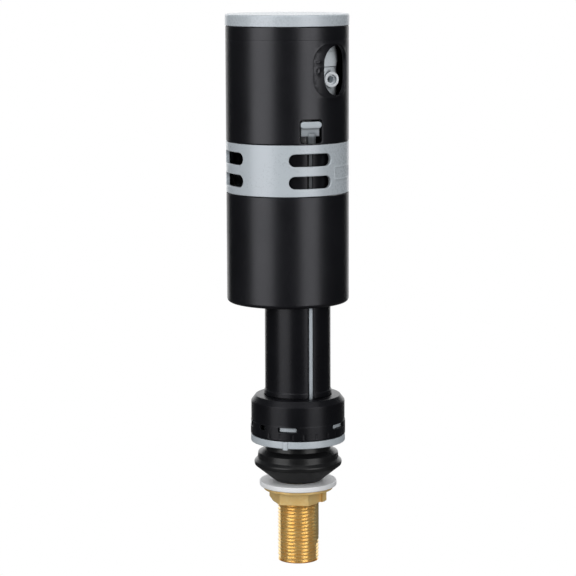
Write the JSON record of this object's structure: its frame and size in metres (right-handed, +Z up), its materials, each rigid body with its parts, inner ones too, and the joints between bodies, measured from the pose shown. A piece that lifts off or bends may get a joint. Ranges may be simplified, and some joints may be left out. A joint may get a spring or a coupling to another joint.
{
  "type": "toilet fill valve",
  "caption": "Bottom-entry cistern fill valve: telescopic black stem and housing with a slotted grey band, grey cap, cone washer, back nut and brass threaded tail.",
  "frame": {"origin": "on the stem axis, at the top face of the clamp washer, which is the plane of the cistern floor's underside", "axes": "+Z up along the stem, towards the cap; -Y towards the front, where the height rod shows in its slit; +X to the right seen from the front"},
  "size_m": [0.0624, 0.0678, 0.2776],
  "materials": {
    "black_plastic": "glossy moulded plastic",
    "grey_plastic": "satin light blue-grey moulded plastic",
    "white_plastic": "satin white moulded plastic",
    "rubber": "matt black moulded rubber",
    "brass": "turned and forged brass",
    "steel": "plain stainless steel"
  },
  "bodies": {
    "base": {"shank": "brass", "inlet_strainer": "white_plastic", "flow_restrictor": "grey_plastic", "shank_oring": "rubber", "cone_washer": "rubber", "base_ring": "grey_plastic", "stem_sleeve": "black_plastic", "water_tube": "white_plastic"},
    "collar": {"lock_collar": "black_plastic"},
    "washer": {"clamp_washer": "white_plastic"},
    "nut": {"back_nut": "brass"},
    "head": {"upper_housing": "black_plastic", "trim_band": "grey_plastic", "lower_cup": "black_plastic", "height_rod": "grey_plastic", "riser_tube": "white_plastic", "riser_oring_lower": "rubber", "riser_oring_upper": "rubber", "riser_top_oring": "rubber", "valve_body": "grey_plastic", "refill_nozzle": "grey_plastic", "valve_seat": "steel", "diaphragm": "rubber", "bonnet": "grey_plastic", "bonnet_screw_1": "steel", "bonnet_screw_2": "steel", "bonnet_screw_3": "steel", "bonnet_screw_4": "steel", "discharge_tube": "grey_plastic", "lever_pin": "steel", "flap_pin": "steel"},
    "cap": {"top_cap": "grey_plastic"},
    "disc": {"diaphragm_disc": "white_plastic"},
    "float": {"float": "white_plastic", "float_rod": "grey_plastic"},
    "lever": {"pilot_lever": "grey_plastic", "level_screw": "steel"},
    "pilot": {"pilot_pin": "steel", "pilot_seal": "rubber"},
    "flap": {"drain_flap": "rubber"}
  },
  "joints": [
    {"name": "height_slide", "type": "slide", "parent": "base", "child": "head", "axis": [0, 0, 1], "range_m": [0, 0.03]},
    {"name": "collar_twist", "type": "hinge", "parent": "base", "child": "collar", "pos_m": [0, 0, 0.03], "axis": [0, 0, 1], "range_deg": [0, 28]},
    {"name": "washer_slide", "type": "slide", "parent": "base", "child": "washer", "axis": [0, 0, 1], "range_m": [-0.0272, 0]},
    {"name": "nut_spin", "type": "hinge", "parent": "washer", "child": "nut", "pos_m": [0, 0, -0.007], "axis": [0, 0, 1], "range_deg": [-5400, 0]},
    {"name": "cap_lift", "type": "slide", "parent": "head", "child": "cap", "axis": [0, 0, 1], "range_m": [0, 0.03]},
    {"name": "disc_lift", "type": "slide", "parent": "head", "child": "disc", "axis": [0, 0, 1], "range_m": [0, 0.0012]},
    {"name": "float_rise", "type": "slide", "parent": "head", "child": "float", "axis": [0, 0, 1], "range_m": [0, 0.0045]},
    {"name": "lever_tilt", "type": "hinge", "parent": "head", "child": "lever", "pos_m": [0, 0.0196, 0.224], "axis": [1, 0, 0], "range_deg": [0, 12.75]},
    {"name": "pin_press", "type": "slide", "parent": "head", "child": "pilot", "axis": [0, 0, 1], "range_m": [-0.00156, 0]},
    {"name": "flap_swing", "type": "hinge", "parent": "head", "child": "flap", "pos_m": [0, 0.0263, 0.0892], "axis": [1, 0, 0], "range_deg": [-50, 0]}
  ],
  "couplings": [
    {"joint": "nut_spin", "follows": "washer_slide", "rad_per_m": 3463.2},
    {"joint": "lever_tilt", "follows": "float_rise", "rad_per_m": 49.261},
    {"joint": "pin_press", "follows": "float_rise", "ratio": -0.3448}
  ]
}
